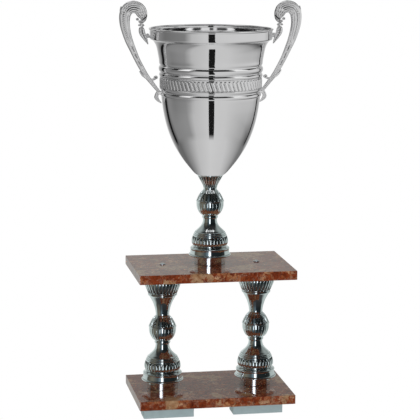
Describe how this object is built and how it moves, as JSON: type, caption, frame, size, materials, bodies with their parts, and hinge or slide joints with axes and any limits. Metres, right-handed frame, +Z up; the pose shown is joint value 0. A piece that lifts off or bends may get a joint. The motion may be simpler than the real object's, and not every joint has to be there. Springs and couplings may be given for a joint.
{
  "type": "cup trophy",
  "caption": "Two-handled metal cup on a turned riser, standing on a two-tier stone base joined by turned columns.",
  "frame": {"origin": "centre of the footprint on the surface that the trophy stands on", "axes": "+Z up, +X along the plates and the two handles, -Y towards the viewer"},
  "size_m": [0.3016, 0.2032, 0.6754],
  "materials": {
    "marble": "polished red-brown breccia",
    "foot_pad": "satin",
    "column_chrome": "bright chrome plate",
    "bowl_silver": "bright silver plate",
    "handle_silver": "bright silver plate on a casting",
    "steel": "zinc plated"
  },
  "bodies": {
    "root": {"lower_plate": "marble", "upper_plate": "marble", "column_left_plinth": "column_chrome", "column_right_plinth": "column_chrome", "riser_plinth": "column_chrome", "foot_front_left": "foot_pad", "foot_front_right": "foot_pad", "foot_rear_left": "foot_pad", "foot_rear_right": "foot_pad", "column_left_bell": "column_chrome", "column_left_knop": "column_chrome", "column_left_capital": "column_chrome", "column_right_bell": "column_chrome", "column_right_knop": "column_chrome", "column_right_capital": "column_chrome", "riser_bell": "column_chrome", "riser_knop": "column_chrome", "riser_collar": "column_chrome", "bowl": "bowl_silver", "ornamental_band": "bowl_silver", "handle_left": "handle_silver", "handle_right": "handle_silver", "column_left_rod": "steel", "column_right_rod": "steel", "column_cap_nuts": "steel", "column_washers": "steel", "column_nuts": "steel", "riser_rod": "steel", "riser_washer": "steel", "riser_nut": "steel", "bowl_washer": "steel", "bowl_nut": "steel", "handle_screws": "steel"}
  },
  "joints": []
}
